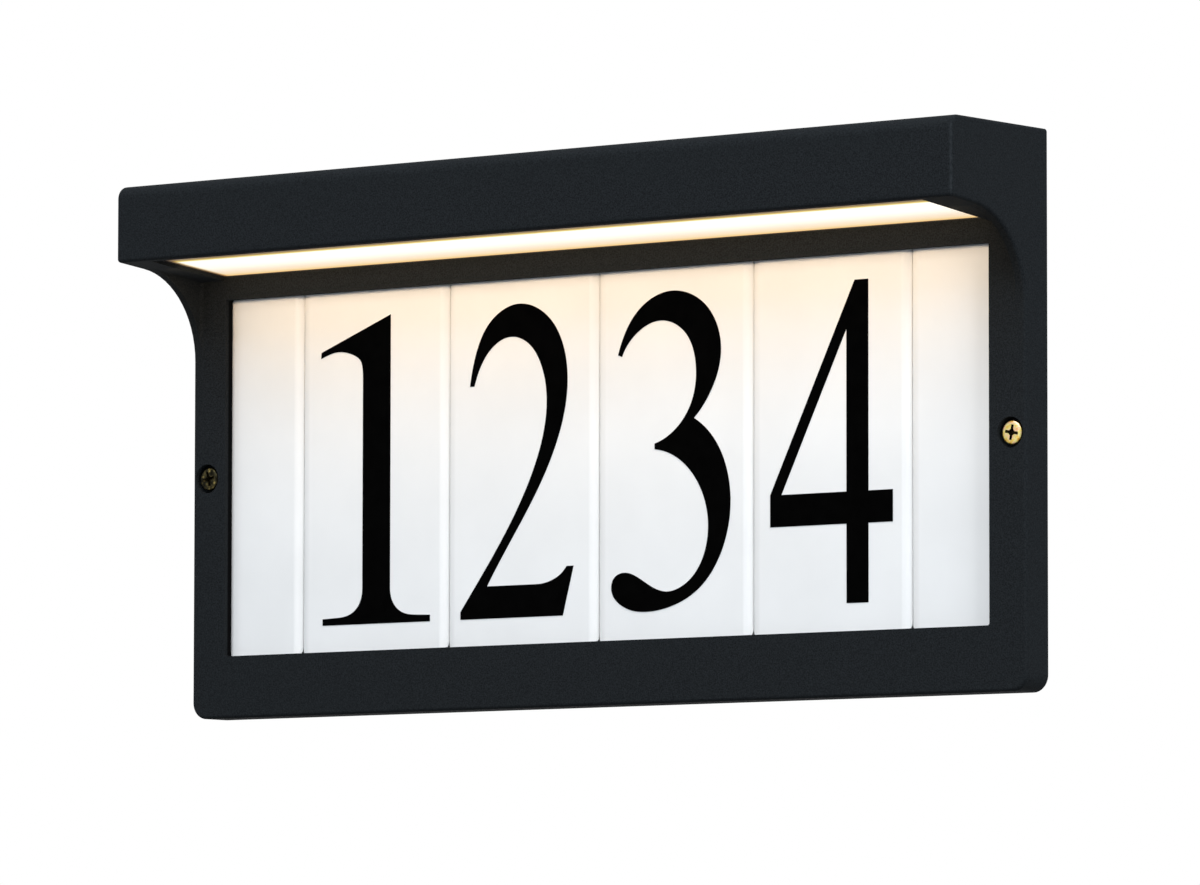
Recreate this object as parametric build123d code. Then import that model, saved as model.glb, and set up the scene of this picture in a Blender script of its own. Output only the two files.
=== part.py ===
from build123d import *
import os
from math import atan2, cos, pi, sin, sqrt

# Wall-mounted, lit house number sign: a one-piece cast housing (a window frame with a hood on
# top) over a flat back plate. Six glazed tiles show through the window, and a strip of lamps
# in the hood shines down on them through a frosted lens.
#
# Millimetres. X runs to the right, Y runs into the wall, Z is up. The origin is on the wall
# side of the back plate, in the middle of the sign, so everything lies at negative Y.

# ---------------------------------------------------------------- frame and hood
side_bar = 14.35              # beside the window
bottom_bar = 21.2             # below the window
top_bar = 6.6                 # between the window and the hood's underside
frame_depth = 12.5            # wall to the front of the window frame
hood_projection = 40.5        # front of the frame to the front of the hood
hood_front_height = 26.0
hood_underside_drop = 3.9     # the underside is this much lower at the frame than in front

# ---------------------------------------------------------------- housing
hood_nose_radius = 4.4        # where the hood's top turns into its front
bottom_corner_radius = 5.6
inner_corner_radius = 2.5     # upper corners of the room inside
front_edge_radius = 1.2
side_wall = 2.5
top_wall = 2.5
hood_front_wall = 2.8
rim_stand_off = 0.5           # the cast rim stays this far off the wall
gusset_thickness = 3.4
gusset_arc_radius = 30.0
gusset_corner_radius = 1.5
frame_lip = 3.6               # thickness of the frame in front of the tiles
frame_face_wall = 3.0         # thickness of the frame where it is cored out
inner_rib = 1.7               # ribs round the tile pocket and across the bottom bar
bottom_rib_count = 5
window_corner_radius = 0.8

# ---------------------------------------------------------------- tiles and numerals
tile_width = 63.5
tile_height = 127.0
tile_thickness = 4.0
tile_gap = 0.2
number_tile_count = 4
end_tile_width = 34.55        # each, when the row is in the middle
tile_row_shift = -1.2         # middle of the row of number tiles, from the middle of the window
end_tile_overlap = 2.35       # part of an end tile that the frame hides
tile_top_overlap = 2.95       # part of each tile that the frame hides above
tile_low_overlap = 1.75       # and below
tile_roll_width = 3.5         # rounded-off strip along the upright edges
tile_roll_depth = 1.4
tile_corner_radius = 4.0
tile_play = 0.4
tile_front_clearance = 0.1
numeral_thickness = 0.15
numeral_rise = 11.0           # foot of the numerals above the tile's lower edge
numeral_shift = 1.2           # numerals to the right of their drawn place on the tile
drawn_tile_width = 63.5       # the tile that the numerals' outlines are drawn for
drawn_tile_height = 127.0

# ---------------------------------------------------------------- cover screws
screw_from_side = 6.2         # screw axis to the side of the sign
screw_head_radius = 4.0
screw_head_height = 2.6
screw_head_edge = 1.3         # upright part of the head's side
screw_shank_radius = 2.0
screw_tip_inset = 3.1         # screw's tip to the wall side of the plate
screw_point = 0.6
screw_recess_radius = 5.0
screw_recess_depth = 3.4
screw_hole_radius = 2.25
screw_boss_height = 14.0
screw_boss_depth = 2.5
screw_bore_clearance = 0.06
cross_length = 5.2
cross_width = 0.9
cross_depth = 1.5
left_cross_turn = 12.0
right_cross_turn = -10.0

# ---------------------------------------------------------------- back plate
plate_thickness = 2.0
plate_clearance = 0.5
plate_front_gap = 0.2
wall_hole_radius = 2.6
wall_hole_from_side = 34.05   # to the side of the sign
wall_hole_from_pad = 10.5     # to the nearest foam pad
stand_off_radius = 3.0
stand_off_seat_gap = 0.1
pad_height = 14.0
pad_end_margin = 6.0
pad_inset = 9.0               # pad edge to tile edge
cable_hole_radius = 7.0
cable_hole_from_terminal = 18.0
cable_hole_drop = 16.0        # below the top of the sign
grommet_bore_radius = 4.0
grommet_flange = 2.2
grommet_flange_thickness = 1.2

# ---------------------------------------------------------------- lens, in the hood's tilted frame
lens_end_margin = 13.4        # lens opening to the hood's end
lens_thickness = 2.5
lens_recess = 1.6
lens_end_seat = 3.6
lens_front_seat = 1.0
lens_rear_seat = 3.0
lens_clearance = 0.25
lens_seal_thickness = 0.4
hood_floor = 3.2

# ---------------------------------------------------------------- lamp tray and lamps
tray_sheet = 1.0
tray_front = 5.2              # front flange, back from the hood's front face
tray_rear_margin = 4.5        # rear flange to the frame's front
tray_height = 8.6
tray_end_margin = 16.0        # tray to the hood's end
ear_width = 10.0
ear_over_driver = 0.1
ear_boss_gap = 0.3            # boss to the tray's web
ear_boss_wire_gap = 1.3       # boss to the nearer lamp lead
small_screw_radius = 1.5
small_screw_head_radius = 2.8
small_screw_head_height = 1.9
small_screw_length = 8.0
small_hole_clearance = 0.1
board_end_margin = 8.0        # board to the tray's end
board_width = 14.0
board_thickness = 1.6
tape_thickness = 0.2
board_screw_radius = 1.25
board_screw_head_radius = 2.2
board_screw_head_height = 1.2
lamp_pitch = 12.0
lamp_end_margin = 10.0
lamp_length = 3.5
lamp_width = 2.8
lamp_height = 0.8

# ---------------------------------------------------------------- driver and wiring
driver_half_length = 48.0
driver_side_margin = 2.5      # driver to the tray's edge
driver_top_gap = 2.3          # driver to the hood's top wall
driver_wall = 1.4
driver_ear_length = 8.0
driver_ear_width = 8.0
driver_ear_thickness = 2.0
potting_drop = 0.8
terminal_gap = 24.0           # terminal block to the driver's ears
terminal_length = 16.0
terminal_width = 13.0
terminal_drop = 0.3           # below the driver's top
terminal_screw_radius = 1.6
terminal_screw_depth = 3.0
terminal_screw_drop = 0.5
terminal_entry_radius = 1.5
terminal_entry_depth = 6.0
wire_radius = 0.7
wire_spacing = 5.0
wire_bend_radius = 2.5
wire_hole_radius = 1.6
wire_from_board_end = 3.6
wire_lap = 2.5                # bare wire end on the board

# ---------------------------------------------------------------- worked-out places
tile_pitch = tile_width + tile_gap
row_half = number_tile_count * tile_pitch / 2 + tile_gap / 2
pocket_half = row_half + end_tile_width + tile_play
window_half = row_half + end_tile_width - end_tile_overlap
window_height = tile_height - tile_top_overlap - tile_low_overlap
half_width = window_half + side_bar
sign_height = bottom_bar + window_height + top_bar + hood_underside_drop + hood_front_height
half_height = sign_height / 2
window_low_z = -half_height + bottom_bar
window_high_z = window_low_z + window_height
window_middle_z = (window_low_z + window_high_z) / 2
tile_low_z = window_low_z - tile_low_overlap
tile_high_z = window_high_z + tile_top_overlap
tile_middle_z = (tile_low_z + tile_high_z) / 2
pocket_low_z = tile_low_z - tile_play
pocket_high_z = tile_high_z + tile_play

frame_front_y = -frame_depth
hood_front_y = frame_front_y - hood_projection
rim_y = -rim_stand_off
plate_front_y = -plate_thickness
hood_low_z = half_height - hood_front_height
hood_root_z = hood_low_z - hood_underside_drop
tilt = atan2(hood_underside_drop, hood_projection)
underside_length = sqrt(hood_underside_drop ** 2 + hood_projection ** 2)

lip_rear_y = frame_front_y + frame_lip
tile_front_y = lip_rear_y + tile_front_clearance
tile_rear_y = tile_front_y + tile_thickness

pad_low_z = tile_low_z + pad_inset
pad_high_z = tile_high_z - pad_inset
wall_hole_x = half_width - wall_hole_from_side
wall_hole_low_z = pad_low_z + pad_height + wall_hole_from_pad
wall_hole_high_z = pad_high_z - pad_height - wall_hole_from_pad

screw_x = half_width - screw_from_side
screw_z = window_middle_z
screw_seat_y = frame_front_y + screw_recess_depth
screw_shank_length = -screw_seat_y - screw_tip_inset
boss_rear_y = screw_seat_y + screw_boss_depth

inner_side_x = half_width - side_wall
inner_top_z = half_height - top_wall
side_core_x = pocket_half + inner_rib
core_front_y = frame_front_y + frame_face_wall
core_corner_radius = bottom_corner_radius - side_wall
plate_recess_y = plate_front_y - plate_front_gap
bottom_rib_spacing = 2 * inner_side_x / (bottom_rib_count + 1)

lens_opening_half = half_width - lens_end_margin
lens_high_n = lens_recess + lens_thickness
lens_seat_n = lens_recess - lens_seal_thickness
web_high_n = lens_high_n + tray_height
web_low_n = web_high_n - tray_sheet
tray_rear = underside_length - tray_rear_margin
tray_middle = (tray_front + tray_rear) / 2
tray_half_length = half_width - tray_end_margin
board_half_length = tray_half_length - board_end_margin
board_high_n = web_low_n - tape_thickness
board_low_n = board_high_n - board_thickness
board_screw_length = board_thickness + tape_thickness + tray_sheet
board_hole_radius = board_screw_radius + small_hole_clearance
small_hole_radius = small_screw_radius + small_hole_clearance
lamp_count = int(2 * (board_half_length - lamp_end_margin) / lamp_pitch) + 1
board_screw_x = (lamp_count / 2 - 2) * lamp_pitch

driver_height = hood_front_height - top_wall - web_high_n - driver_top_gap
driver_width = tray_rear - tray_front - 2 * driver_side_margin
driver_ear_x = driver_half_length + driver_ear_length / 2
driver_ear_s = driver_width / 2 - driver_ear_width / 2
driver_screw_length = driver_ear_thickness + tray_sheet
ear_high_n = web_high_n + driver_ear_thickness
terminal_height = driver_height - terminal_drop
terminal_middle_x = -driver_half_length - driver_ear_length - terminal_gap - terminal_length / 2
terminal_ear_x = terminal_middle_x - terminal_length / 2 - driver_ear_length / 2
terminal_ear_s = tray_middle + driver_ear_s
ear_height = driver_height + ear_over_driver
ear_x = tray_half_length - ear_width / 2
ear_screw_n = web_high_n + ear_height / 2
ear_front_s = tray_rear - tray_sheet
ear_boss_front_s = tray_middle + wire_spacing / 2 + wire_radius + ear_boss_wire_gap
wire_n = web_high_n + driver_height / 2
wire_hole_x = board_half_length + wire_from_board_end
wire_end_x = board_half_length - wire_lap
cable_hole_x = terminal_ear_x - cable_hole_from_terminal
cable_hole_z = half_height - cable_hole_drop

# The hood's underside is tilted. In this frame X is the sign's X, the second axis (s) runs
# back along the underside from its front edge, and the third (n) stands square to it, upwards.
hood_frame = Plane(
    origin=(0, hood_front_y, hood_low_z),
    x_dir=(1, 0, 0),
    z_dir=(0, sin(tilt), cos(tilt)),
).location


def both_ways(half):
    return (-half, half)


def around(middle, size):
    return (middle - size / 2, middle + size / 2)


def span_box(x_range, y_range, z_range):
    """A box between two values on each axis of the sign."""
    ranges = (x_range, y_range, z_range)
    sizes = [high - low for low, high in ranges]
    middle = [(high + low) / 2 for low, high in ranges]
    return Pos(*middle) * Box(*sizes)


def hood_box(x_range, s_range, n_range):
    """The same in the hood's tilted frame."""
    return hood_frame * span_box(x_range, s_range, n_range)


def rod_along_y(x, z, radius, y_range):
    """A round bar that runs into the wall."""
    low, high = y_range
    return Pos(x, (low + high) / 2, z) * Rot(90, 0, 0) * Cylinder(radius, high - low)


def rod_along_s(x, n, radius, s_range):
    """A round bar that runs back along the hood's underside."""
    low, high = s_range
    return hood_frame * Pos(x, (low + high) / 2, n) * Rot(90, 0, 0) * Cylinder(radius, high - low)


def rod_along_n(x, s, radius, n_range):
    """A round bar that stands square to the hood's underside."""
    low, high = n_range
    return hood_frame * Pos(x, s, (low + high) / 2) * Cylinder(radius, high - low)


def front_plane(y):
    """A drawing plane that faces the viewer, with X to the right, Z up and depth towards -Y."""
    return Plane(origin=(0, y, 0), x_dir=(1, 0, 0), z_dir=(0, -1, 0))


def front_form(sketch, y_range):
    """A front-view sketch made as deep as a range along Y."""
    low, high = y_range
    return extrude(front_plane(high) * sketch, amount=high - low)


def side_form(outline, half_length):
    """A closed outline drawn in (Y, Z), extruded to both sides along X."""
    side = Plane(origin=(-half_length, 0, 0), x_dir=(0, 1, 0), z_dir=(1, 0, 0))
    return extrude(side * make_face(outline), amount=2 * half_length)


def rounded_outline(half_x, half_z, low_radius, high_radius):
    """A front-view rectangle with one radius on its lower corners and another on its upper ones."""
    outline = Rectangle(2 * half_x, 2 * half_z)
    outline = fillet(outline.vertices().filter_by(lambda v: v.Y < -half_z + 0.01), low_radius)
    return fillet(outline.vertices().filter_by(lambda v: v.Y > half_z - 0.01), high_radius)


def underside_z(y):
    return hood_root_z + hood_underside_drop * (frame_front_y - y) / hood_projection


# ---------------------------------------------------------------- housing
def gusset_arc():
    """Start on the underside, middle and end on the frame of the gussets' round edge."""
    radius = gusset_arc_radius
    centre_y = frame_front_y - radius
    centre_z = underside_z(centre_y) - radius / cos(tilt)
    start = (centre_y + radius * sin(tilt), centre_z + radius * cos(tilt))
    half_turn = (pi / 2 - tilt) / 2
    middle = (centre_y + radius * cos(half_turn), centre_z + radius * sin(half_turn))
    end = (frame_front_y, centre_z)
    return start, middle, end


def outer_form():
    start, middle, end = gusset_arc()
    rear_low = (rim_y, -half_height)
    nose_y = hood_front_y + hood_nose_radius
    nose_z = half_height - hood_nose_radius
    reach = hood_nose_radius * cos(pi / 4)
    outline = [
        Polyline(rear_low, (frame_front_y, -half_height), end),
        ThreePointArc(end, middle, start),
        Polyline(start, (hood_front_y, hood_low_z), (hood_front_y, nose_z)),
        ThreePointArc((hood_front_y, nose_z), (nose_y - reach, nose_z + reach), (nose_y, half_height)),
        Polyline((nose_y, half_height), (rim_y, half_height), rear_low),
    ]
    side = side_form(outline, half_width)
    front = Rectangle(2 * half_width, 2 * half_height)
    front = fillet(front.vertices().filter_by(lambda v: v.Y < 0), bottom_corner_radius)
    form = side & front_form(front, (hood_front_y - 1, 1))
    return fillet(form.edges().filter_by(is_rounded_off), front_edge_radius)


def is_rounded_off(edge):
    """True for the edges round both ends, and for the lower front edges of the hood and the frame."""
    box = edge.bounding_box()
    if box.size.Y < 0.01 and box.size.Z < 0.01:
        below_hood = box.max.Y < hood_front_y + 0.01 and box.max.Z < hood_low_z + 0.01
        below_frame = box.max.Y < rim_y - 0.1 and box.max.Z < -half_height + 0.01
        return below_hood or below_frame
    return box.max.Y < rim_y - 0.1 or box.min.Z > half_height - 0.01


def space_under_hood():
    """The room between the two gussets, under the hood and in front of the frame."""
    low_z = gusset_arc()[2][1] - gusset_arc_radius
    ahead_y = hood_front_y - frame_depth
    outline = Polyline(
        (frame_front_y, low_z),
        (frame_front_y, hood_root_z),
        (ahead_y, underside_z(ahead_y)),
        (ahead_y, low_z),
        (frame_front_y, low_z),
    )
    room = side_form([outline], half_width - gusset_thickness)
    corners = room.edges().filter_by(
        lambda e: e.bounding_box().size.X < 0.01
        and e.bounding_box().max.Y > frame_front_y - 0.01
    )
    return fillet(corners, gusset_corner_radius)


def hood_hollow():
    floor_rise = hood_floor / cos(tilt)
    front_y = hood_front_y + hood_front_wall
    outline = Polyline(
        (front_y, underside_z(front_y) + floor_rise),
        (front_y, inner_top_z),
        (1, inner_top_z),
        (1, pocket_high_z + inner_rib),
        (lip_rear_y, pocket_high_z + inner_rib),
        (lip_rear_y, underside_z(lip_rear_y) + floor_rise),
        (front_y, underside_z(front_y) + floor_rise),
    )
    return side_form([outline], inner_side_x)


def lens_opening():
    return span_box(
        both_ways(lens_opening_half),
        (hood_front_y + hood_front_wall, frame_front_y),
        (hood_root_z - 1, hood_low_z + hood_floor),
    )


def frame_cores():
    """What is cored out of the bars from the rear: a U round the tile pocket, with ribs left in."""
    inner_half_z = half_height - top_wall
    ring = front_form(
        rounded_outline(inner_side_x, inner_half_z, core_corner_radius, inner_corner_radius),
        (core_front_y, 1),
    )
    core_top_z = pocket_high_z + inner_rib
    core = ring - span_box(both_ways(half_width), (core_front_y - 1, 2), (core_top_z, half_height))
    core -= span_box(both_ways(side_core_x), (core_front_y - 1, 2), (pocket_low_z - inner_rib, half_height))
    for index in range(bottom_rib_count):
        rib_x = (index - (bottom_rib_count - 1) / 2) * bottom_rib_spacing
        core -= span_box(
            around(rib_x, inner_rib),
            (core_front_y - 1, 2),
            (-half_height, pocket_low_z),
        )
    return core


def plate_recess():
    inner_half_z = half_height - top_wall
    outline = rounded_outline(inner_side_x, inner_half_z, core_corner_radius, inner_corner_radius)
    return front_form(outline, (plate_recess_y, 1))


def make_housing():
    housing = outer_form() - space_under_hood()
    housing -= hood_hollow()
    housing -= lens_opening()
    lens_seat = hood_box(
        both_ways(lens_opening_half + lens_end_seat),
        (hood_front_wall - lens_front_seat, underside_length + frame_lip + 1),
        (lens_seat_n, lens_high_n + lens_clearance),
    )
    housing -= lens_seat
    housing -= frame_cores()
    window = Pos(0, window_middle_z) * RectangleRounded(
        2 * window_half, window_high_z - window_low_z, window_corner_radius
    )
    housing -= front_form(window, (frame_front_y - 1, lip_rear_y + 1))
    housing -= span_box(both_ways(pocket_half), (lip_rear_y, 1), (pocket_low_z, pocket_high_z))
    for side in (-1, 1):
        boss_x = sorted((side * (pocket_half + inner_rib / 2), side * (inner_side_x + side_wall / 2)))
        housing += span_box(boss_x, (core_front_y - 1, boss_rear_y), around(screw_z, screw_boss_height))
        housing += ear_boss(side * ear_x)
    housing -= plate_recess()
    for x in both_ways(screw_x):
        housing -= rod_along_y(x, screw_z, screw_recess_radius, (frame_front_y - 1, screw_seat_y))
        housing -= rod_along_y(x, screw_z, screw_hole_radius, (frame_front_y, 1))
    for x in both_ways(ear_x):
        hole_s = (ear_front_s - small_screw_length, ear_front_s + 1)
        housing -= rod_along_s(x, ear_screw_n, small_hole_radius, hole_s)
    return housing


def ear_boss(x):
    """A boss under the hood's top wall that one ear of the lamp tray is screwed to."""
    boss = hood_box(
        around(x, ear_width - 1),
        (ear_boss_front_s, ear_front_s),
        (web_high_n + ear_boss_gap, hood_front_height + top_wall),
    )
    return boss & span_box(both_ways(half_width), (hood_front_y, 0), (0, half_height - top_wall / 2))


# ---------------------------------------------------------------- tiles and numerals
def rolled_section(width):
    """A tile's plan seen from above, as a tall bar: flat face, upright edges rounded off."""
    half = width / 2
    flat = half - tile_roll_width
    edge_y = tile_front_y + tile_roll_depth
    sag = tile_roll_depth * 0.25
    middle_x = half - tile_roll_width / 2
    outline = [
        Polyline((-half, edge_y), (-half, tile_rear_y), (half, tile_rear_y), (half, edge_y)),
        ThreePointArc((half, edge_y), (middle_x, tile_front_y + sag), (flat, tile_front_y)),
        Line((flat, tile_front_y), (-flat, tile_front_y)),
        ThreePointArc((-flat, tile_front_y), (-middle_x, tile_front_y + sag), (-half, edge_y)),
    ]
    return Pos(0, 0, -tile_height) * extrude(make_face(outline), amount=2 * tile_height)


def make_tile(x, width):
    tile = span_box(both_ways(width / 2), (tile_front_y, tile_rear_y), both_ways(tile_height / 2))
    tile = fillet(tile.edges().filter_by(Axis.Y), tile_corner_radius)
    return Pos(x, 0, tile_middle_z) * (tile & rolled_section(width))


def drawn(*points):
    """Points of a numeral's outline, from its foot up, fitted to the real size of the tile."""
    wide = tile_width / drawn_tile_width
    tall = tile_height / drawn_tile_height
    return [(x * wide, up * tall) for x, up in points]


def drawn_line(*points):
    return Polyline(*drawn(*points))


def drawn_curve(*points, tangents=None):
    return Spline(*drawn(*points), tangents=tangents)


def numeral_one():
    return make_face([
        drawn_line((-23.4, 2.2), (-23.4, 0), (23.4, 0), (23.4, 2.2)),
        drawn_curve((23.4, 2.2), (10.0, 4.2), (6.0, 12.0), tangents=((-1, 0.05), (0, 1))),
        drawn_line((6.0, 12.0), (6.0, 104.4), (-24.3, 92.9), (-24.5, 90.8)),
        drawn_curve((-24.5, 90.8), (-15.5, 92.7), (-8.6, 90.6), (-6.0, 82.6), tangents=((1, 0.4), (0, -1))),
        drawn_line((-6.0, 82.6), (-6.0, 12.0)),
        drawn_curve((-6.0, 12.0), (-10.0, 4.2), (-23.4, 2.2), tangents=((0, -1), (-1, -0.05))),
    ])


def numeral_two():
    outer = (
        (-23.2, 78.0), (-21.2, 87.2), (-14.8, 99.1), (-2.5, 104.8), (10.8, 99.1),
        (17.2, 87.2), (18.1, 75.2), (12.6, 55.3), (1.1, 35.4), (-15.8, 10.8),
    )
    inner = (
        (-27.1, 2.6), (-14.3, 19.4), (-1.1, 39.3), (6.4, 55.3), (9.5, 71.2),
        (7.4, 83.2), (1.8, 91.2), (-5.5, 93.9), (-13.1, 91.2), (-19.4, 83.2), (-21.4, 78.0),
    )
    return make_face([
        drawn_curve(*outer),
        drawn_line((-15.8, 10.8), (5.0, 10.8)),
        drawn_curve((5.0, 10.8), (12.5, 12.2), (18.0, 16.4), tangents=((1, 0), (0.7, 1))),
        drawn_line((18.0, 16.4), (20.9, 16.4), (16.4, 0), (-27.1, 0), (-27.1, 2.6)),
        drawn_curve(*inner),
        drawn_line((-21.4, 78.0), (-23.2, 78.0)),
    ])


def numeral_three():
    upper_outer = (
        (-24.2, 85.2), (-21.9, 91.2), (-16.4, 99.1), (-2.0, 105.4), (12.9, 99.1),
        (18.3, 85.2), (15.0, 73.1), (7.2, 63.0),
    )
    lower = (
        (7.2, 63.0), (18.4, 51.3), (22.2, 35.4), (18.8, 19.4), (9.9, 7.5), (-2.1, 1.5),
        (-12.0, 0), (-21.0, 1.5), (-26.9, 7.5), (-26.0, 11.4), (-22.0, 13.2), (-15.8, 11.4),
        (-8.9, 7.6), (-3.8, 6.4), (1.3, 7.5), (7.1, 11.4), (12.8, 23.4), (11.8, 35.4),
        (4.2, 47.3), (-9.0, 53.4),
    )
    upper_inner = (
        (-9.0, 55.3), (-0.9, 59.3), (5.7, 67.2), (8.1, 79.2), (3.7, 91.2), (-6.0, 95.8),
        (-14.9, 93.2), (-22.6, 84.6),
    )
    return make_face([
        drawn_curve(*upper_outer),
        drawn_curve(*lower),
        drawn_line((-9.0, 53.4), (-9.0, 55.3)),
        drawn_curve(*upper_inner),
        drawn_line((-22.6, 84.6), (-24.2, 85.2)),
    ])


def numeral_four():
    body = make_face(drawn_line(
        (14.1, 104.6), (8.7, 104.6), (-25.3, 36.1), (-25.3, 25.7), (5.4, 25.7), (5.4, 0),
        (14.1, 0), (14.1, 25.7), (23.8, 25.7), (23.8, 36.1), (14.1, 36.1), (14.1, 104.6),
    ))
    counter = make_face(drawn_line((5.4, 36.1), (5.4, 89.0), (-20.8, 36.1), (5.4, 36.1)))
    return body - counter


def make_numeral(sketch, x):
    """The printed and fired numeral, a thin layer on the face of its tile."""
    placed = Pos(x + numeral_shift, tile_low_z + numeral_rise) * sketch
    return front_form(placed, (tile_front_y - numeral_thickness, tile_front_y))


# ---------------------------------------------------------------- screws
def pan_screw(head_radius, head_height, head_edge, shank_radius, length):
    """A pan head screw along +Z, with the underside of its head at the origin."""
    point = min(screw_point, shank_radius / 2)
    crown = head_height - head_edge
    shoulder = (head_radius - 0.3 * crown, head_edge + 0.55 * crown)
    shank = [(0, -length), (shank_radius - point, -length), (shank_radius, -length + point)]
    outline = [
        Polyline((0, head_height), *shank, (shank_radius, 0), (head_radius, 0), (head_radius, head_edge)),
        ThreePointArc((head_radius, head_edge), shoulder, (head_radius - crown, head_height)),
        Line((head_radius - crown, head_height), (0, head_height)),
    ]
    return revolve(Plane.XZ * make_face(outline), Axis.Z)


def with_cross(screw, head_height, size):
    """Cuts a cross recess, scaled from the cover screws' own, into a screw's head."""
    depth = cross_depth * size
    for turn in (0, 90):
        slot = Box(cross_length * size, cross_width * size, 2 * depth)
        screw -= Pos(0, 0, head_height) * Rot(0, 0, turn) * slot
    return screw


def small_screw(length):
    screw = pan_screw(
        small_screw_head_radius, small_screw_head_height, small_screw_head_height / 2,
        small_screw_radius, length,
    )
    return with_cross(screw, small_screw_head_height, small_screw_head_radius / screw_head_radius)


def make_cover_screw(x, turn):
    screw = pan_screw(
        screw_head_radius, screw_head_height, screw_head_edge, screw_shank_radius, screw_shank_length
    )
    screw = with_cross(screw, screw_head_height, 1)
    return Pos(x, screw_seat_y, screw_z) * Rot(90, 0, 0) * Rot(0, 0, turn) * screw


# ---------------------------------------------------------------- back plate group
def make_back_plate():
    reach = side_wall + plate_clearance
    outline = rounded_outline(
        half_width - reach,
        half_height - top_wall - plate_clearance,
        bottom_corner_radius - reach,
        inner_corner_radius - plate_clearance,
    )
    plate = front_form(outline, (plate_front_y, 0))
    for x in both_ways(wall_hole_x):
        for z in (wall_hole_low_z, wall_hole_high_z):
            plate -= rod_along_y(x, z, wall_hole_radius, (plate_front_y - 1, 1))
    return plate - rod_along_y(cable_hole_x, cable_hole_z, cable_hole_radius, (plate_front_y - 1, 1))


def make_stand_off(x):
    """A threaded stand-off welded to the plate, which one cover screw runs into."""
    front_y = boss_rear_y + stand_off_seat_gap
    body = rod_along_y(x, screw_z, stand_off_radius, (front_y, plate_front_y))
    bore = screw_shank_radius + screw_bore_clearance
    return body - rod_along_y(x, screw_z, bore, (front_y - 1, 1))


def make_grommet():
    flange_front_y = plate_front_y - grommet_flange_thickness
    flange_radius = cable_hole_radius + grommet_flange
    body = rod_along_y(cable_hole_x, cable_hole_z, flange_radius, (flange_front_y, plate_front_y))
    body += rod_along_y(cable_hole_x, cable_hole_z, cable_hole_radius, (plate_front_y, 0))
    return body - rod_along_y(cable_hole_x, cable_hole_z, grommet_bore_radius, (flange_front_y - 1, 1))


def make_pad(z_range):
    """A strip of foam on the plate that presses the tiles against the frame."""
    return span_box(both_ways(pocket_half - pad_end_margin), (tile_rear_y, plate_front_y), z_range)


# ---------------------------------------------------------------- lens group
def lens_blank(n_range):
    return hood_box(
        both_ways(lens_opening_half + lens_end_seat - lens_clearance),
        (hood_front_wall - lens_front_seat + lens_clearance, underside_length + lens_rear_seat),
        n_range,
    )


def make_lens():
    return lens_blank((lens_recess, lens_high_n))


def make_lens_seal():
    return lens_blank((lens_seat_n, lens_recess)) - lens_opening()


# ---------------------------------------------------------------- lamp tray group
def driver_ears():
    """The middle of each of the driver's four ears, in the hood's X and s."""
    return [
        (x, tray_middle + s)
        for x in both_ways(driver_ear_x)
        for s in both_ways(driver_ear_s)
    ]


def wire_places():
    return around(tray_middle, wire_spacing)


def make_tray():
    tray = hood_box(both_ways(tray_half_length), (tray_front, tray_rear), (lens_high_n, web_high_n))
    tray -= hood_box(
        both_ways(tray_half_length + 1),
        (tray_front + tray_sheet, tray_rear - tray_sheet),
        (lens_high_n - 1, web_low_n),
    )
    for x in both_ways(ear_x):
        tray += hood_box(around(x, ear_width), (ear_front_s, tray_rear), (web_low_n, web_high_n + ear_height))
        tray -= rod_along_s(x, ear_screw_n, small_hole_radius, (ear_front_s - 1, tray_rear + 1))
    through_web = (web_low_n - 1, web_high_n + 1)
    for x, s in driver_ears() + [(terminal_ear_x, terminal_ear_s)]:
        tray -= rod_along_n(x, s, small_hole_radius, through_web)
    for x in both_ways(board_screw_x):
        tray -= rod_along_n(x, tray_middle, board_hole_radius, through_web)
    for s in wire_places():
        tray -= rod_along_n(wire_hole_x, s, wire_hole_radius, through_web)
    return tray


def make_tray_screws():
    screws = []
    for x in both_ways(ear_x):
        place = hood_frame * Pos(x, tray_rear, ear_screw_n) * Rot(-90, 0, 0)
        screws.append(place * small_screw(small_screw_length))
    return screws


def board_layer(n_range):
    layer = hood_box(both_ways(board_half_length), around(tray_middle, board_width), n_range)
    for x in both_ways(board_screw_x):
        layer -= rod_along_n(x, tray_middle, board_hole_radius, (n_range[0] - 1, n_range[1] + 1))
    return layer


def make_board_screws():
    screws = []
    for x in both_ways(board_screw_x):
        screw = pan_screw(
            board_screw_head_radius, board_screw_head_height, board_screw_head_height / 2,
            board_screw_radius, board_screw_length,
        )
        screw = with_cross(screw, board_screw_head_height, board_screw_head_radius / screw_head_radius)
        screws.append(hood_frame * Pos(x, tray_middle, board_low_n) * Rot(180, 0, 0) * screw)
    return screws


def make_lamps():
    lamps = []
    for index in range(lamp_count):
        x = (index - (lamp_count - 1) / 2) * lamp_pitch
        lamps.append(hood_box(
            around(x, lamp_length),
            around(tray_middle, lamp_width),
            (board_low_n - lamp_height, board_low_n),
        ))
    return lamps


# ---------------------------------------------------------------- driver group
def make_driver_case():
    case = hood_box(
        both_ways(driver_half_length),
        around(tray_middle, driver_width),
        (web_high_n, web_high_n + driver_height),
    )
    case -= potting_room(driver_height + 1)
    for x, s in driver_ears():
        case += fixing_ear(x, s, around(s, driver_ear_width))
    return case


def fixing_ear(x, screw_s, s_range):
    """A flat ear that lies on the tray, with the hole of the screw that holds it down."""
    ear = hood_box(around(x, driver_ear_length), s_range, (web_high_n, ear_high_n))
    return ear - rod_along_n(x, screw_s, small_hole_radius, (web_high_n - 1, ear_high_n + 1))


def potting_room(high):
    return hood_box(
        both_ways(driver_half_length - driver_wall),
        around(tray_middle, driver_width - 2 * driver_wall),
        (web_high_n + driver_wall, web_high_n + high),
    )


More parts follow.
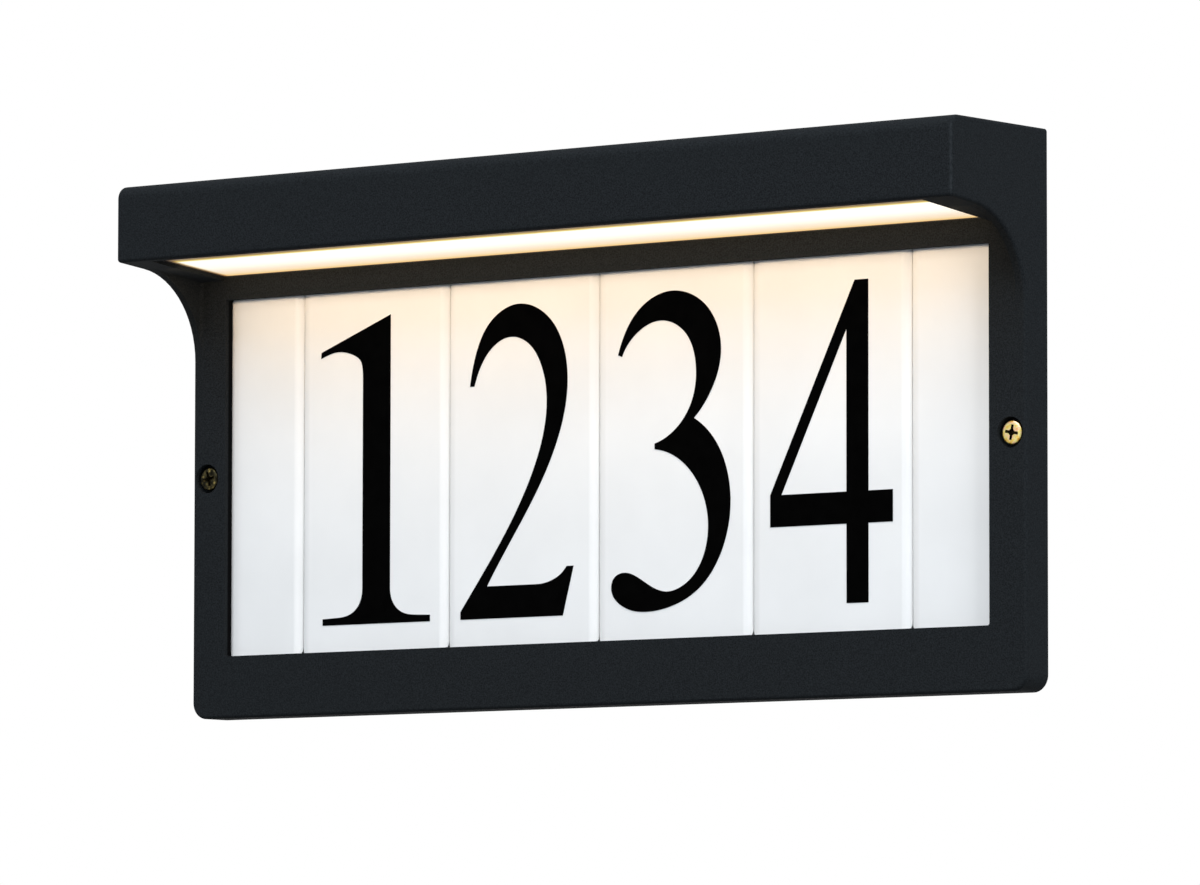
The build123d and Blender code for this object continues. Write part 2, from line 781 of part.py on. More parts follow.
def ear_screw(x, s):
    return hood_frame * Pos(x, s, ear_high_n) * small_screw(driver_screw_length)


def make_terminal_block():
    block = hood_box(
        around(terminal_middle_x, terminal_length),
        around(tray_middle, terminal_width),
        (web_high_n, web_high_n + terminal_height),
    )
    high_n = web_high_n + terminal_height
    screw_room = (high_n - terminal_screw_depth, high_n + 1)
    for s in wire_places():
        block -= rod_along_n(terminal_middle_x, s, terminal_screw_radius, screw_room)
        entry = Pos(terminal_middle_x - terminal_length / 2, s, wire_n) * Rot(0, 90, 0)
        block -= hood_frame * entry * Cylinder(terminal_entry_radius, 2 * terminal_entry_depth)
    ear_range = (tray_middle - terminal_width / 2, terminal_ear_s + driver_ear_width / 2)
    return block + fixing_ear(terminal_ear_x, terminal_ear_s, ear_range)


def make_terminal_screws():
    high_n = web_high_n + terminal_height - terminal_screw_drop
    low_n = web_high_n + terminal_height - terminal_screw_depth
    screws = []
    for s in wire_places():
        screw = rod_along_n(terminal_middle_x, s, terminal_screw_radius, (low_n, high_n))
        screws.append(screw - hood_box(
            around(terminal_middle_x, 4 * terminal_screw_radius),
            around(s, terminal_screw_drop),
            around(high_n, 2 * terminal_screw_drop),
        ))
    return screws


def wire(points):
    """A round wire along straight runs in the hood's frame, with a bend at each inner point."""
    if len(points) > 2:
        path = FilletPolyline(*points, radius=wire_bend_radius)
    else:
        path = Line(*points)
    section = Plane(origin=path @ 0, z_dir=path % 0) * Circle(wire_radius)
    return hood_frame * sweep(section, path=path)


def make_lamp_lead(s):
    """From the driver along the tray, down through the tray and back under the lamp board."""
    low_n = board_low_n - wire_radius
    return wire([
        (driver_half_length, s, wire_n),
        (wire_hole_x, s, wire_n),
        (wire_hole_x, s, low_n),
        (wire_end_x, s, low_n),
    ])


def make_supply_lead(s):
    """From the terminal block straight to the driver."""
    return wire([
        (-driver_half_length, s, wire_n),
        (terminal_middle_x + terminal_length / 2, s, wire_n),
    ])


# ---------------------------------------------------------------- assembly
def make_tiles():
    numerals = (numeral_one(), numeral_two(), numeral_three(), numeral_four())
    pieces = {}
    for index, sketch in enumerate(numerals):
        x = tile_row_shift + (index - (number_tile_count - 1) / 2) * tile_pitch
        pieces[f"number_tile_{index + 1}"] = make_tile(x, tile_width)
        pieces[f"numeral_{index + 1}"] = make_numeral(sketch, x)
    left_width = end_tile_width + tile_row_shift
    right_width = end_tile_width - tile_row_shift
    pieces["blank_tile_left"] = make_tile(tile_row_shift - row_half - left_width / 2, left_width)
    pieces["blank_tile_right"] = make_tile(tile_row_shift + row_half + right_width / 2, right_width)
    return pieces


def make_parts():
    front_wire, rear_wire = wire_places()
    parts = {
        "housing": make_housing(),
        "back_plate": make_back_plate(),
        "plate_stand_offs": [make_stand_off(x) for x in both_ways(screw_x)],
        "cable_grommet": make_grommet(),
        "tile_pad_lower": make_pad((pad_low_z, pad_low_z + pad_height)),
        "tile_pad_upper": make_pad((pad_high_z - pad_height, pad_high_z)),
        "cover_screw_left": make_cover_screw(-screw_x, left_cross_turn),
        "cover_screw_right": make_cover_screw(screw_x, right_cross_turn),
        "lens": make_lens(),
        "lens_seal": make_lens_seal(),
        "lamp_tray": make_tray(),
        "tray_screws": make_tray_screws(),
        "thermal_tape": board_layer((board_high_n, web_low_n)),
        "lamp_board": board_layer((board_low_n, board_high_n)),
        "board_screws": make_board_screws(),
        "lamps": make_lamps(),
        "driver_case": make_driver_case(),
        "driver_potting": potting_room(driver_height - potting_drop),
        "driver_screws": [ear_screw(x, s) for x, s in driver_ears()],
        "terminal_block": make_terminal_block(),
        "terminal_screws": make_terminal_screws(),
        "terminal_fixing_screw": ear_screw(terminal_ear_x, terminal_ear_s),
        "lamp_lead_positive": make_lamp_lead(front_wire),
        "lamp_lead_negative": make_lamp_lead(rear_wire),
        "supply_lead_positive": make_supply_lead(front_wire),
        "supply_lead_negative": make_supply_lead(rear_wire),
    }
    parts.update(make_tiles())
    return parts


os.makedirs("parts", exist_ok=True)
for node, shape in make_parts().items():
    if isinstance(shape, list):
        shape = Compound(children=shape)
    export_step(shape, f"parts/{node}.step")
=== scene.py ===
from math import cos, pi, radians, sin

import bpy
import bmesh
from mathutils import Matrix, Vector


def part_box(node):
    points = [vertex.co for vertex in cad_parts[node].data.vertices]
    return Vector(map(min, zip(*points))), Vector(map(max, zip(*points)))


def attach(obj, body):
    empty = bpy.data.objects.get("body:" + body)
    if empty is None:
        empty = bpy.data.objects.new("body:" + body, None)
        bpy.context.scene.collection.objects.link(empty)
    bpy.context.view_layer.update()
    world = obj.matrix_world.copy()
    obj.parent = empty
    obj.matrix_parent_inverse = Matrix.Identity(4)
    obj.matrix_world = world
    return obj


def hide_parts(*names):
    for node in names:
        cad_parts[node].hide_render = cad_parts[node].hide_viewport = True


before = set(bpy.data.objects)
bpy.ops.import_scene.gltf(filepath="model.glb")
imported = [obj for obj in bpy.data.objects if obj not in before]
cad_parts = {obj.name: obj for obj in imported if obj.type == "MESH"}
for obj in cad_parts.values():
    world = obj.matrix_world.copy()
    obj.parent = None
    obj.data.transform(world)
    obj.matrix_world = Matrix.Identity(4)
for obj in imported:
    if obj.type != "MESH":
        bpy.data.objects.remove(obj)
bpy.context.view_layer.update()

# The lit house number sign. Metres, in the CAD frame: X to the right, Y into the wall, Z up.
MM = 0.001

# Places that the finishes follow, in mm. X is from the sign's middle. Y is 0 at the wall and falls
# towards the front.
HOOD_END_EDGE = (173.1, 173.8)
HOOD_FRONT_EDGE = (-52.1, -52.8)
WINDOW_SIDE = 159.7
WINDOW_SIDE_REACH = 0.4
PAINTED_SHADE_START = (-11.2, -10.6)
LENS_FRONT_TO_REAR = (-50.3, -12.4)
LENS_END_TO_END = (-161, 161)

# Noise lies mostly between these, so what follows it is stretched over that span.
NOISE_SPAN = {"From Min": 0.3, "From Max": 0.7}


# ---------------------------------------------------------------- materials: helpers
def hex_colour(code):
    """An sRGB hex value as the linear colour that Blender works with."""
    channels = [int(code[i:i + 2], 16) / 255 for i in (1, 3, 5)]
    linear = [c / 12.92 if c <= 0.04045 else ((c + 0.055) / 1.055) ** 2.4 for c in channels]
    return (*linear, 1)


def patches(size_mm):
    """The scale at which a pattern's patches are about size_mm across."""
    return 1 / (size_mm * MM)


def span(start_mm, end_mm):
    """The stretch of an axis over which a range goes from 0 to 1."""
    return {"From Min": start_mm * MM, "From Max": end_mm * MM}


def mottled(dark, light):
    """The colour stops that follow noise from one tone to the other."""
    return [(NOISE_SPAN["From Min"], dark), (NOISE_SPAN["From Max"], light)]


def set_inputs(tree, node, inputs):
    """Each input gets a value, or a link from an output or from a node's first output."""
    for name, value in inputs.items():
        if isinstance(value, bpy.types.Node):
            value = value.outputs[0]
        if isinstance(value, bpy.types.NodeSocket):
            tree.links.new(value, node.inputs[name])
        else:
            node.inputs[name].default_value = value


def add_node(tree, kind, inputs=None, stops=(), **settings):
    """One node with its settings, its inputs, and its colour stops of (position, hex)."""
    node = tree.nodes.new("ShaderNode" + kind)
    for name, value in settings.items():
        setattr(node, name, value)
    set_inputs(tree, node, inputs or {})
    if stops:
        elements = node.color_ramp.elements
        while len(elements) < len(stops):
            elements.new(0.5)
        for element, (position, code) in zip(elements, stops):
            element.position = position
            element.color = hex_colour(code)
    return node


def new_finish(name):
    """An empty material: its node tree, its surface shader, and the Object coordinates."""
    material = bpy.data.materials.new(name)
    material.use_nodes = True
    tree = material.node_tree
    tree.nodes.clear()
    surface = add_node(tree, "BsdfPrincipled")
    add_node(tree, "OutputMaterial", {"Surface": surface})
    place = add_node(tree, "TexCoord").outputs["Object"]
    return material, tree, surface, place


# ---------------------------------------------------------------- materials: finishes
def sand_textured_powder_coat():
    # Black polyester powder on cast aluminium, baked to a fine sand texture: matte and even, over
    # the casting's slow waves. Real grit of about 0.2 mm is too fine to show, so it is drawn at
    # 0.45 mm. A painted highlight makes the coat paler along the upright edges at the hood's
    # front, and painted shade makes it black in the window's sides. A fault: nothing limits that
    # painted shade in height, so it also draws a short black line near each rear end of the hood's
    # top and of the frame's underside.
    material, tree, surface, place = new_finish("sand_textured_powder_coat")
    axes = add_node(tree, "SeparateXYZ", {"Vector": place})
    side = add_node(tree, "Math", {0: axes.outputs["X"]}, operation="ABSOLUTE")
    front = axes.outputs["Y"]
    grit = add_node(tree, "TexNoise", {"Vector": place, "Scale": patches(0.45), "Detail": 2.0})
    powder = add_node(tree, "ValToRGB", {"Fac": grit}, mottled("#141618", "#272A2C"))

    # A paler band is painted along the upright edges at the hood's front as a highlight, broken up
    # by noise.
    near_end = add_node(tree, "MapRange", {"Value": side, **span(*HOOD_END_EDGE)})
    near_front = add_node(tree, "MapRange", {"Value": front, **span(*HOOD_FRONT_EDGE)})
    edge = add_node(tree, "Math", {0: near_end, 1: near_front}, operation="MULTIPLY")
    highlight_patchiness = add_node(tree, "TexNoise", {"Vector": place, "Scale": patches(1.5), "Detail": 3.0})
    broken_highlight = add_node(tree, "MapRange", {
        "Value": highlight_patchiness, **NOISE_SPAN, "To Min": 0.0, "To Max": 0.6})
    edge_highlight = add_node(tree, "Math", {0: edge, 1: broken_highlight}, operation="MULTIPLY")
    with_edge_highlight = add_node(tree, "MixRGB", {
        "Fac": edge_highlight, "Color1": powder, "Color2": hex_colour("#3C4043")})

    # The window's sides are painted near black as shade, from a little behind the frame's face
    # towards the wall.
    window_side = add_node(tree, "Math", {
        0: side, 1: WINDOW_SIDE * MM, 2: WINDOW_SIDE_REACH * MM}, operation="COMPARE")
    behind_face = add_node(tree, "MapRange", {"Value": front, **span(*PAINTED_SHADE_START)})
    window_side_shade = add_node(tree, "Math", {0: window_side, 1: behind_face}, operation="MULTIPLY")
    with_window_side_shade = add_node(tree, "MixRGB", {
        "Fac": window_side_shade, "Color1": with_edge_highlight, "Color2": hex_colour("#050506")})

    casting = add_node(tree, "TexNoise", {"Vector": place, "Scale": patches(35.0), "Detail": 2.0})
    waves = add_node(tree, "Bump", {"Height": casting, "Distance": 0.25 * MM, "Strength": 0.5})
    set_inputs(tree, surface, {
        "Base Color": with_window_side_shade,
        "Roughness": add_node(tree, "MapRange", {
            "Value": grit, **NOISE_SPAN, "To Min": 0.72, "To Max": 0.92}),
        "Specular IOR Level": 0.04,
        "Normal": add_node(tree, "Bump", {
            "Height": grit, "Distance": 0.1 * MM, "Strength": 1.0, "Normal": waves}),
    })
    return material


def white_tin_glaze():
    # Pressed earthenware under a thick white gloss glaze, which pools a little, so that its face
    # is faintly uneven and reflections in it waver. Its pinpricks are too fine to show, and are
    # drawn at 0.8 mm.
    material, tree, surface, place = new_finish("white_tin_glaze")
    pooling = add_node(tree, "TexNoise", {"Vector": place, "Scale": patches(14.0), "Detail": 2.0})
    clouds = add_node(tree, "TexNoise", {"Vector": place, "Scale": patches(30.0), "Detail": 3.0})
    specks = add_node(tree, "TexNoise", {"Vector": place, "Scale": patches(0.8), "Detail": 4.0})
    set_inputs(tree, surface, {
        "Base Color": add_node(tree, "ValToRGB", {"Fac": clouds}, mottled("#EFEEEC", "#F4F3F1")),
        "Roughness": add_node(tree, "MapRange", {
            "Value": specks, **NOISE_SPAN, "To Min": 0.07, "To Max": 0.13}),
        "IOR": 1.52,
        "Normal": add_node(tree, "Bump", {
            "Height": pooling, "Distance": 0.1 * MM, "Strength": 0.35}),
    })
    return material


def fired_black_ink():
    # Black ceramic ink, screen printed and fired on the glaze: dense, with a satin face and slight
    # orange peel.
    material, tree, surface, place = new_finish("fired_black_ink")
    peel = add_node(tree, "TexNoise", {"Vector": place, "Scale": patches(0.7), "Detail": 2.0})
    depth = add_node(tree, "TexNoise", {"Vector": place, "Scale": patches(5.0), "Detail": 3.0})
    set_inputs(tree, surface, {
        "Base Color": add_node(tree, "ValToRGB", {"Fac": depth}, mottled("#000000", "#020202")),
        "Roughness": add_node(tree, "MapRange", {
            "Value": peel, **NOISE_SPAN, "To Min": 0.5, "To Max": 0.65}),
        "Specular IOR Level": 0.01,
        "Normal": add_node(tree, "Bump", {
            "Height": peel, "Distance": 0.02 * MM, "Strength": 0.5}),
    })
    return material


def yellow_zinc_plate(name, tones, smooth, rough):
    # Steel, zinc plated and passivated yellow, in the tones given: for the plain plate, gold, pink
    # and green. Its hair scratches are too fine to show, and are drawn at 0.25 mm.
    material, tree, surface, place = new_finish(name)
    tint = add_node(tree, "TexNoise", {"Vector": place, "Scale": patches(1.6), "Detail": 3.0})
    scratches = add_node(tree, "TexNoise", {
        "Vector": place, "Scale": patches(0.25), "Detail": 4.0})
    tone_places = (0.3, 0.42, 0.5, 0.58, 0.7)
    set_inputs(tree, surface, {
        "Base Color": add_node(tree, "ValToRGB", {"Fac": tint}, list(zip(tone_places, tones))),
        "Metallic": 1.0,
        "Roughness": add_node(tree, "MapRange", {
            "Value": scratches, **NOISE_SPAN, "To Min": smooth, "To Max": rough}),
        "Normal": add_node(tree, "Bump", {
            "Height": scratches, "Distance": 0.012 * MM, "Strength": 0.6}),
    })
    return material


def clear_zinc_plate():
    # Steel screws and stand-offs, zinc plated and passivated clear: cool, fairly bright, finely
    # worn. The wear's scratches are too fine to show, and are drawn at 0.4 mm.
    material, tree, surface, place = new_finish("clear_zinc_plate")
    wear = add_node(tree, "TexNoise", {"Vector": place, "Scale": patches(0.4), "Detail": 4.0})
    haze = add_node(tree, "TexNoise", {"Vector": place, "Scale": patches(3.0), "Detail": 3.0})
    set_inputs(tree, surface, {
        "Base Color": add_node(tree, "ValToRGB", {"Fac": haze}, mottled("#B9BDC1", "#D6D9DB")),
        "Metallic": 1.0,
        "Roughness": add_node(tree, "MapRange", {
            "Value": wear, **NOISE_SPAN, "To Min": 0.22, "To Max": 0.4}),
        "Normal": add_node(tree, "Bump", {
            "Height": wear, "Distance": 0.01 * MM, "Strength": 0.4}),
    })
    return material


def galvanised_sheet():
    # Hot-dip galvanised steel sheet: crystals of zinc 5 to 10 mm across, each with its own grey,
    # and a fine tooth between them that is drawn at 0.6 mm so that it shows.
    material, tree, surface, place = new_finish("galvanised_sheet")
    crystals = add_node(tree, "TexVoronoi", {
        "Vector": place, "Scale": patches(8), "Randomness": 1.0})
    shade = add_node(tree, "SeparateColor", {
        "Color": crystals.outputs["Color"]}).outputs["Red"]
    tooth = add_node(tree, "TexNoise", {"Vector": place, "Scale": patches(0.6), "Detail": 4.0})
    toothed = add_node(tree, "Bump", {"Height": tooth, "Distance": 0.01 * MM, "Strength": 0.4})
    set_inputs(tree, surface, {
        "Base Color": add_node(tree, "ValToRGB", {"Fac": shade}, [
            (0.0, "#AAAFB2"), (0.5, "#B8BDC0"), (1.0, "#C4C8CA")]),
        "Metallic": 1.0,
        "Roughness": add_node(tree, "MapRange", {
            "Value": tooth, **NOISE_SPAN, "To Min": 0.38, "To Max": 0.52}),
        "Normal": add_node(tree, "Bump", {
            "Height": shade, "Distance": 0.01 * MM, "Strength": 0.4, "Normal": toothed}),
    })
    return material


def opal_lens():
    # Frosted polycarbonate lit from behind: white over the lamps, warm where the light thins out
    # towards the wall side, and amber along the front and at the ends, which lie past the lamps.
    # The frost is too fine to show, and is drawn at 0.35 mm.
    material, tree, surface, place = new_finish("opal_lens")
    axes = add_node(tree, "SeparateXYZ", {"Vector": place})
    across = add_node(tree, "MapRange", {
        "Value": axes.outputs["Y"], **span(*LENS_FRONT_TO_REAR)})
    along = add_node(tree, "MapRange", {
        "Value": axes.outputs["X"], **span(*LENS_END_TO_END)})
    ends = add_node(tree, "ValToRGB", {"Fac": along}, [
        (0, "#4A3418"), (0.004, "#7A5A26"), (0.007, "#E8D9B0"), (0.01, "#FFFFFF"),
        (0.994, "#FFFFFF"), (0.998, "#B39717"),
    ])
    glow = add_node(tree, "ValToRGB", {"Fac": across}, [
        (0.05, "#4A3218"), (0.215, "#6B4A1A"), (0.25, "#A8890A"), (0.283, "#E8D260"),
        (0.31, "#FAF9F3"), (0.62, "#F8F5EB"), (0.74, "#F3E8D5"), (0.84, "#F1DCC2"),
        (0.9, "#F4DBB4"), (0.945, "#F3D19A"), (0.98, "#F0C682"), (1, "#E4B573"),
    ])
    lit = add_node(tree, "MixRGB", {
        "Fac": 1.0, "Color1": glow, "Color2": ends}, blend_type="MULTIPLY")
    frost = add_node(tree, "TexNoise", {"Vector": place, "Scale": patches(0.35), "Detail": 3.0})
    set_inputs(tree, surface, {
        "Base Color": add_node(tree, "ValToRGB", {"Fac": frost}, mottled("#8E897E", "#989388")),
        "Roughness": add_node(tree, "MapRange", {
            "Value": frost, **NOISE_SPAN, "To Min": 0.45, "To Max": 0.6}),
        "IOR": 1.58,
        "Emission Color": lit,
        "Emission Strength": 1.0,
        "Normal": add_node(tree, "Bump", {
            "Height": frost, "Distance": 0.01 * MM, "Strength": 0.4}),
    })
    return material


def epdm_rubber():
    # Moulded black EPDM: dull, with a bloom of paler dust. The mould's grain is too fine to show,
    # and is drawn at 0.3 mm.
    material, tree, surface, place = new_finish("epdm_rubber")
    bloom = add_node(tree, "TexNoise", {"Vector": place, "Scale": patches(2.5), "Detail": 4.0})
    mould = add_node(tree, "TexNoise", {"Vector": place, "Scale": patches(0.3), "Detail": 2.0})
    set_inputs(tree, surface, {
        "Base Color": add_node(tree, "ValToRGB", {"Fac": bloom}, mottled("#161616", "#242423")),
        "Roughness": add_node(tree, "MapRange", {
            "Value": bloom, **NOISE_SPAN, "To Min": 0.65, "To Max": 0.85}),
        "Normal": add_node(tree, "Bump", {
            "Height": mould, "Distance": 0.02 * MM, "Strength": 0.5}),
    })
    return material


def closed_cell_foam():
    # Grey EPDM foam, cut to strips: cells under a millimetre across, opened at the cut faces.
    material, tree, surface, place = new_finish("closed_cell_foam")
    cells = add_node(tree, "TexVoronoi", {"Vector": place, "Scale": patches(0.8)})
    set_inputs(tree, surface, {
        "Base Color": add_node(tree, "ValToRGB", {"Fac": cells}, [
            (0.0, "#252628"), (0.5, "#3B3D40"), (0.9, "#4A4C4F")]),
        "Roughness": 0.92,
        "Sheen Weight": 0.12,
        "Normal": add_node(tree, "Bump", {
            "Height": cells, "Distance": 0.12 * MM, "Strength": 0.7}),
    })
    return material


def mill_aluminium():
    # Bare rolled aluminium sheet: rolling lines along X, and a soft grey shine. The lines are too
    # fine to show, and are drawn 0.3 mm wide.
    material, tree, surface, place = new_finish("mill_aluminium")
    drawn_out = add_node(tree, "Mapping", {"Vector": place, "Scale": (0.02, 1, 1)})
    lines = add_node(tree, "TexNoise", {"Vector": drawn_out, "Scale": patches(0.3), "Detail": 3.0})
    set_inputs(tree, surface, {
        "Base Color": add_node(tree, "ValToRGB", {"Fac": lines}, mottled("#C3C5C7", "#D9DADB")),
        "Metallic": 1.0,
        "Roughness": add_node(tree, "MapRange", {
            "Value": lines, **NOISE_SPAN, "To Min": 0.3, "To Max": 0.45}),
        "Normal": add_node(tree, "Bump", {
            "Height": lines, "Distance": 0.01 * MM, "Strength": 0.4}),
    })
    return material


def white_solder_mask():
    # White solder mask over glass-epoxy: glossy, with the cloth's weave, and a shade darker where
    # one length of copper track ends and the next begins, every 75 mm along the strip.
    material, tree, surface, place = new_finish("white_solder_mask")
    weave = add_node(tree, "TexNoise", {"Vector": place, "Scale": patches(0.5), "Detail": 2.0})
    # At a scale of 1 the wave turns 20 radians per metre, so here it turns one in 12 mm.
    tracks = add_node(tree, "TexWave", {
        "Vector": place, "Scale": patches(12) / 20, "Distortion": 0.0,
    }, bands_direction="X", wave_profile="SAW")
    set_inputs(tree, surface, {
        "Base Color": add_node(tree, "ValToRGB", {"Fac": tracks.outputs["Fac"]}, [
            (0.0, "#E9E9E2"), (0.08, "#F3F3EE"), (0.92, "#F3F3EE"), (1.0, "#DFE0D8")]),
        "Roughness": add_node(tree, "MapRange", {
            "Value": weave, **NOISE_SPAN, "To Min": 0.25, "To Max": 0.4}),
        "Normal": add_node(tree, "Bump", {
            "Height": weave, "Distance": 0.02 * MM, "Strength": 0.4}),
    })
    return material


def lit_phosphor():
    # The yellow phosphor gel in the lamps' windows, lit.
    material, tree, surface, place = new_finish("lit_phosphor")
    gel = add_node(tree, "TexNoise", {"Vector": place, "Scale": patches(0.5), "Detail": 3.0})
    set_inputs(tree, surface, {
        "Base Color": add_node(tree, "ValToRGB", {"Fac": gel}, mottled("#F2C63C", "#F8DA6A")),
        "Roughness": add_node(tree, "MapRange", {
            "Value": gel, **NOISE_SPAN, "To Min": 0.15, "To Max": 0.3}),
        "Emission Color": add_node(tree, "ValToRGB", {"Fac": gel}, mottled("#FFE3A0", "#FFF0C8")),
        "Emission Strength": 1.5,
    })
    return material


def thermal_tape():
    # Grey silicone thermal tape: soft and matte, filled with ceramic powder that is too fine to
    # show and is drawn at 0.3 mm.
    material, tree, surface, place = new_finish("thermal_tape")
    filler = add_node(tree, "TexNoise", {"Vector": place, "Scale": patches(0.3), "Detail": 4.0})
    set_inputs(tree, surface, {
        "Base Color": add_node(tree, "ValToRGB", {"Fac": filler}, mottled("#8E9499", "#A6ABAF")),
        "Roughness": add_node(tree, "MapRange", {
            "Value": filler, **NOISE_SPAN, "To Min": 0.6, "To Max": 0.8}),
        "Normal": add_node(tree, "Bump", {
            "Height": filler, "Distance": 0.02 * MM, "Strength": 0.4}),
    })
    return material


def moulded_black_pbt():
    # Black PBT with the spark-eroded grain of its mould, which is too fine to show and is drawn at
    # 0.25 mm.
    material, tree, surface, place = new_finish("moulded_black_pbt")
    spark = add_node(tree, "TexNoise", {"Vector": place, "Scale": patches(0.25), "Detail": 3.0})
    flow = add_node(tree, "TexNoise", {"Vector": place, "Scale": patches(6.0), "Detail": 3.0})
    set_inputs(tree, surface, {
        "Base Color": add_node(tree, "ValToRGB", {"Fac": flow}, mottled("#121314", "#1B1C1E")),
        "Roughness": add_node(tree, "MapRange", {
            "Value": spark, **NOISE_SPAN, "To Min": 0.42, "To Max": 0.6}),
        "IOR": 1.55,
        "Normal": add_node(tree, "Bump", {
            "Height": spark, "Distance": 0.03 * MM, "Strength": 0.6}),
    })
    return material


def potting_epoxy():
    # Black epoxy poured and cured in the driver's case: glossy, with slow waves. Dust on it is too
    # fine to show, and is drawn at 0.8 mm.
    material, tree, surface, place = new_finish("potting_epoxy")
    flow = add_node(tree, "TexNoise", {"Vector": place, "Scale": patches(12.0), "Detail": 2.0})
    dust = add_node(tree, "TexNoise", {"Vector": place, "Scale": patches(0.8), "Detail": 3.0})
    set_inputs(tree, surface, {
        "Base Color": add_node(tree, "ValToRGB", {"Fac": flow}, mottled("#0B0C0D", "#141516")),
        "Roughness": add_node(tree, "MapRange", {
            "Value": dust, **NOISE_SPAN, "To Min": 0.1, "To Max": 0.22}),
        "IOR": 1.54,
        "Normal": add_node(tree, "Bump", {
            "Height": flow, "Distance": 0.4 * MM, "Strength": 0.5}),
    })
    return material


def moulded_grey_nylon():
    # Light grey nylon of the terminal block: satin and faintly translucent. The mould's grain is
    # too fine to show, and is drawn at 0.4 mm.
    material, tree, surface, place = new_finish("moulded_grey_nylon")
    mould = add_node(tree, "TexNoise", {"Vector": place, "Scale": patches(0.4), "Detail": 3.0})
    flow = add_node(tree, "TexNoise", {"Vector": place, "Scale": patches(4.0), "Detail": 3.0})
    set_inputs(tree, surface, {
        "Base Color": add_node(tree, "ValToRGB", {"Fac": flow}, mottled("#B9BBB9", "#C8CAC8")),
        "Roughness": add_node(tree, "MapRange", {
            "Value": mould, **NOISE_SPAN, "To Min": 0.35, "To Max": 0.5}),
        "Subsurface Weight": 0.1,
        "Subsurface Radius": (0.8 * MM, 0.8 * MM, 0.8 * MM),
        "Normal": add_node(tree, "Bump", {
            "Height": mould, "Distance": 0.02 * MM, "Strength": 0.5}),
    })
    return material


def wire_insulation(name, dark, light):
    # Extruded PVC over stranded wire: smooth and slightly glossy, marked by the strands inside.
    material, tree, surface, place = new_finish(name)
    strands = add_node(tree, "TexNoise", {"Vector": place, "Scale": patches(0.6), "Detail": 3.0})
    set_inputs(tree, surface, {
        "Base Color": add_node(tree, "ValToRGB", {"Fac": strands}, mottled(dark, light)),
        "Roughness": add_node(tree, "MapRange", {
            "Value": strands, **NOISE_SPAN, "To Min": 0.3, "To Max": 0.45}),
        "Normal": add_node(tree, "Bump", {
            "Height": strands, "Distance": 0.03 * MM, "Strength": 0.4}),
    })
    return material


# ---------------------------------------------------------------- modelling: helpers
def alone(piece):
    """Makes a piece the active one and the only one selected."""
    bpy.ops.object.select_all(action="DESELECT")
    bpy.context.view_layer.objects.active = piece
    piece.select_set(True)


def start(name, kind, **size):
    """Adds a primitive by itself and names it."""
    bpy.ops.object.select_all(action="DESELECT")
    getattr(bpy.ops.mesh, f"primitive_{kind}_add")(**size)
    piece = bpy.context.object
    piece.name = name
    return piece


def edit(piece, mode="FACE"):
    """Edit mode on one piece, with nothing selected."""
    alone(piece)
    bpy.ops.object.mode_set(mode="EDIT")
    bpy.ops.mesh.select_mode(type=mode)
    bpy.ops.mesh.select_all(action="DESELECT")


def pick(piece, kind, test):
    """Selects the verts or the faces whose middle passes the test, and nothing else."""
    mesh = bmesh.from_edit_mesh(piece.data)
    bpy.ops.mesh.select_all(action="DESELECT")
    for part in getattr(mesh, kind):
        corners = [part] if kind == "verts" else part.verts
        part.select_set(test(sum((corner.co for corner in corners), Vector()) / len(corners)))
    bmesh.update_edit_mesh(piece.data)


def face_outwards():
    """Turns every face of the piece in edit mode outwards."""
    bpy.ops.mesh.select_all(action="SELECT")
    bpy.ops.mesh.normals_make_consistent(inside=False)


def done(piece):
    bpy.ops.object.mode_set(mode="OBJECT")
    return piece


def use_modifier(piece, kind, **settings):
    alone(piece)
    modifier = piece.modifiers.new(kind, kind)
    for name, value in settings.items():
        setattr(modifier, name, value)
    bpy.ops.object.modifier_apply(modifier=modifier.name)


def place_mesh(piece, matrix):
    """Puts a piece where it belongs, with its object left at the origin."""
    piece.matrix_world = matrix
    alone(piece)
    bpy.ops.object.transform_apply(location=True, rotation=True, scale=True)


def join(pieces, name):
    alone(pieces[0])
    for piece in pieces[1:]:
        piece.select_set(True)
    bpy.ops.object.join()
    pieces[0].name = name
    return pieces[0]


def smooth(piece, angle):
    """Smooth shading, with the edges sharper than the angle left crisp."""
    alone(piece)
    bpy.ops.object.shade_smooth_by_angle(angle=radians(angle))


def paint(piece, *materials):
    piece.data.materials.clear()
    for material in materials:
        piece.data.materials.append(material)


# ---------------------------------------------------------------- finishes on the CAD nodes
glaze = white_tin_glaze()
ink = fired_black_ink()
bright_zinc = yellow_zinc_plate(
    "bright_yellow_zinc", ("#B98F3C", "#D3B35E", "#C9C480", "#D8AE90", "#C79A48"), 0.24, 0.42)
# The left screw's copy: dark tones painted as the dark reflection in its face, and its palest tone
# as painted glints.
dark_reflection_zinc = yellow_zinc_plate(
    "yellow_zinc_painted_dark_reflection", ("#100F0A", "#211F16", "#2F2C1E", "#4A4329", "#A08F55"), 0.22, 0.4)
# The floor of a screw's recess, painted dark as the shade that falls in it.
recess_shade_zinc = yellow_zinc_plate(
    "screw_recess_painted_shade", ("#1E1A10", "#2E2716", "#3A321C", "#2A2414", "#1C180E"), 0.45, 0.6)
clear_zinc = clear_zinc_plate()
rubber = epdm_rubber()
red_pvc = wire_insulation("red_pvc", "#8E1512", "#B02420")
black_pvc = wire_insulation("black_pvc", "#0E0E0F", "#1C1C1E")

